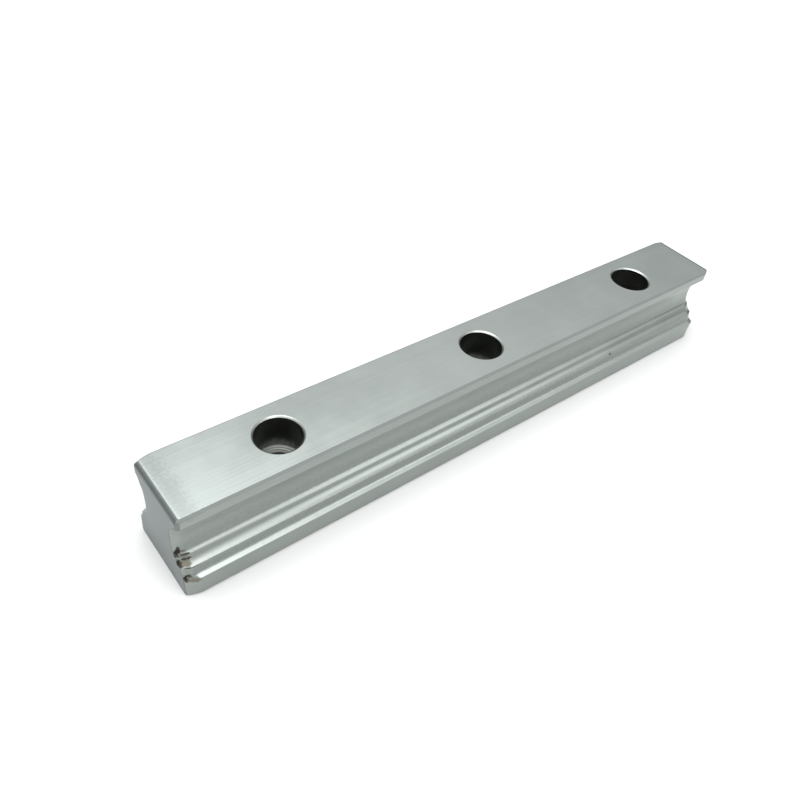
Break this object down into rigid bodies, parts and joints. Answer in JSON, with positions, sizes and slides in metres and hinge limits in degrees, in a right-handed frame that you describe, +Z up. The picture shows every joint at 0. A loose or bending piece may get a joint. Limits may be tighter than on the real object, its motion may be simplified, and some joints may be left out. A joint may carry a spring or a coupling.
{
  "type": "profile linear guide rail",
  "caption": "Straight ground steel profile rail with hourglass flanks carrying ball raceways, a wide foot, and a row of counterbored screw holes; guides a linear carriage.",
  "frame": {"origin": "middle of the foot's underside", "axes": "+X along the rail, +Z up from the foot to the head, +Y across the rail"},
  "size_m": [0.176, 0.023, 0.0243],
  "materials": {
    "ground_steel": "hardened bearing steel, ground on the top and raceways, with rust and residue in the corners of one end"
  },
  "bodies": {
    "root": {"guide_rail": "ground_steel"}
  },
  "joints": []
}
